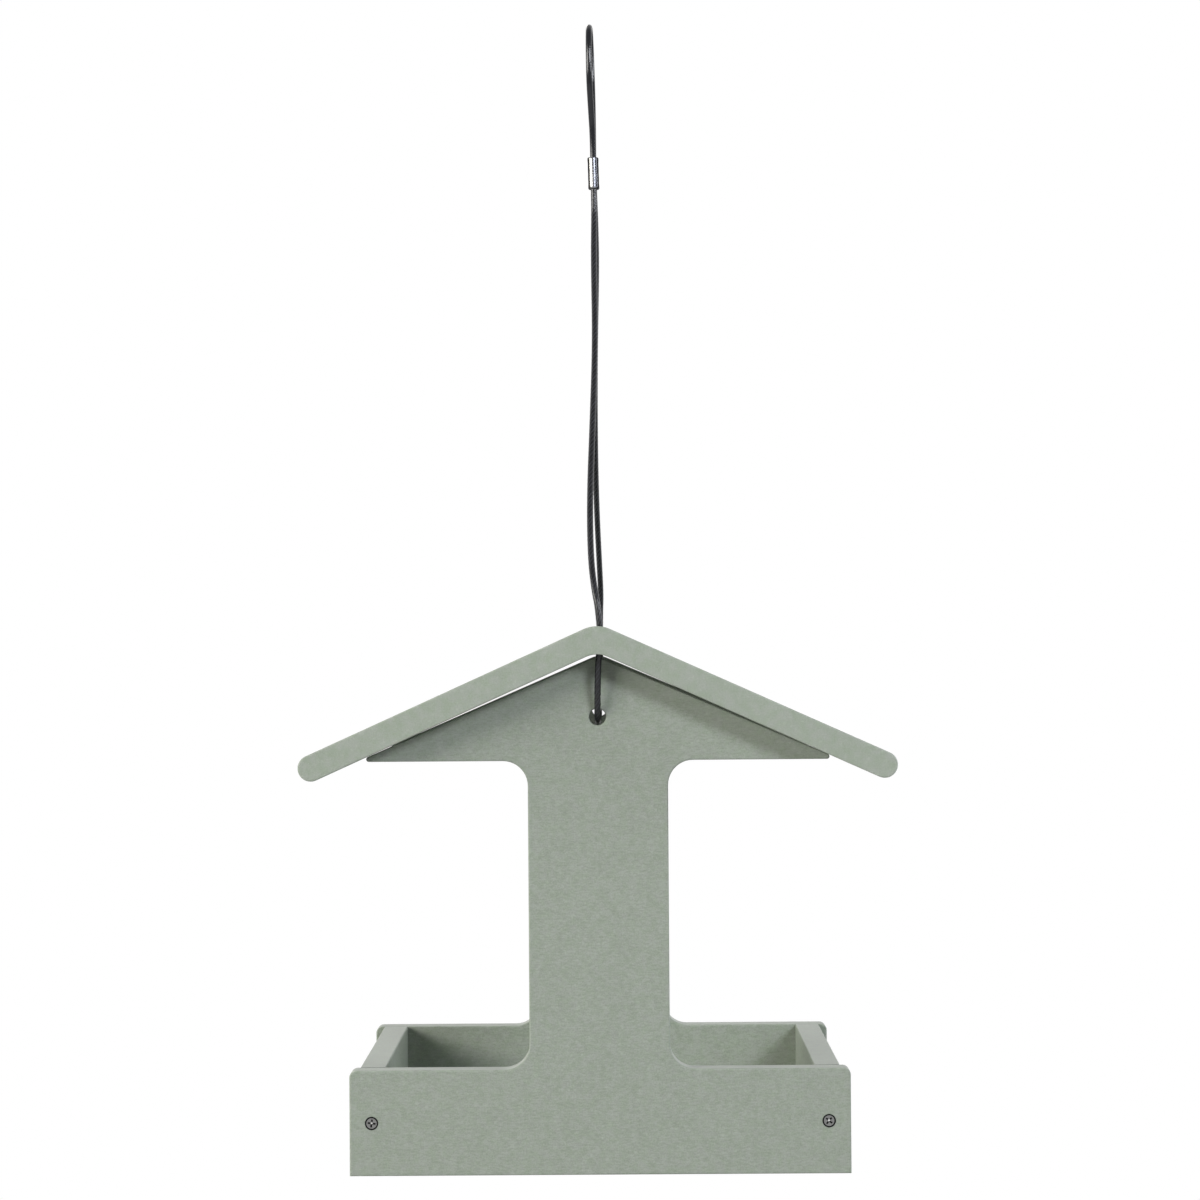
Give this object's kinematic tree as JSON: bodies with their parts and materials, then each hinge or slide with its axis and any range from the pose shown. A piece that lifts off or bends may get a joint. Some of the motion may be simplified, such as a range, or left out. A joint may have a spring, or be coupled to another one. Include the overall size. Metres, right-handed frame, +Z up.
{
  "type": "hanging bird feeder",
  "caption": "Hanging fly-through bird feeder: open seed tray between two gabled panels, under a bent ridge roof that lifts along its cable, with a crimped hanging loop.",
  "frame": {"origin": "the point inside the top of the cable loop where a hook carries the feeder", "axes": "+Z up, +X to the right across the front panel, front panel facing -Y"},
  "size_m": [0.296, 0.24, 0.5927],
  "materials": {
    "recycled_sheet": "sage grey-green thick plastic sheet with a fine grain and smoother, paler cut edges",
    "screw_steel": "dark grey coated steel",
    "cable_coating": "glossy black coating that shows the lay of the steel strands",
    "ferrule_aluminium": "bright pressed aluminium"
  },
  "bodies": {
    "feeder": {"front_panel": "recycled_sheet", "back_panel": "recycled_sheet", "left_side_board": "recycled_sheet", "right_side_board": "recycled_sheet", "tray_floor": "recycled_sheet", "screw_front_left": "screw_steel", "screw_front_right": "screw_steel", "screw_back_left": "screw_steel", "screw_back_right": "screw_steel", "cable_loop": "cable_coating", "cable_front_strand": "cable_coating", "cable_back_strand": "cable_coating", "cable_front_drop": "cable_coating", "cable_back_drop": "cable_coating", "cable_cross_run": "cable_coating", "crimp_ferrule": "ferrule_aluminium"},
    "roof": {"roof": "recycled_sheet"}
  },
  "joints": [
    {"name": "roof_lift", "type": "slide", "parent": "feeder", "child": "roof", "axis": [0, 0, 1], "range_m": [0, 0.06], "deforming": ["cable_front_strand", "cable_back_strand", "cable_front_drop", "cable_back_drop"]}
  ]
}
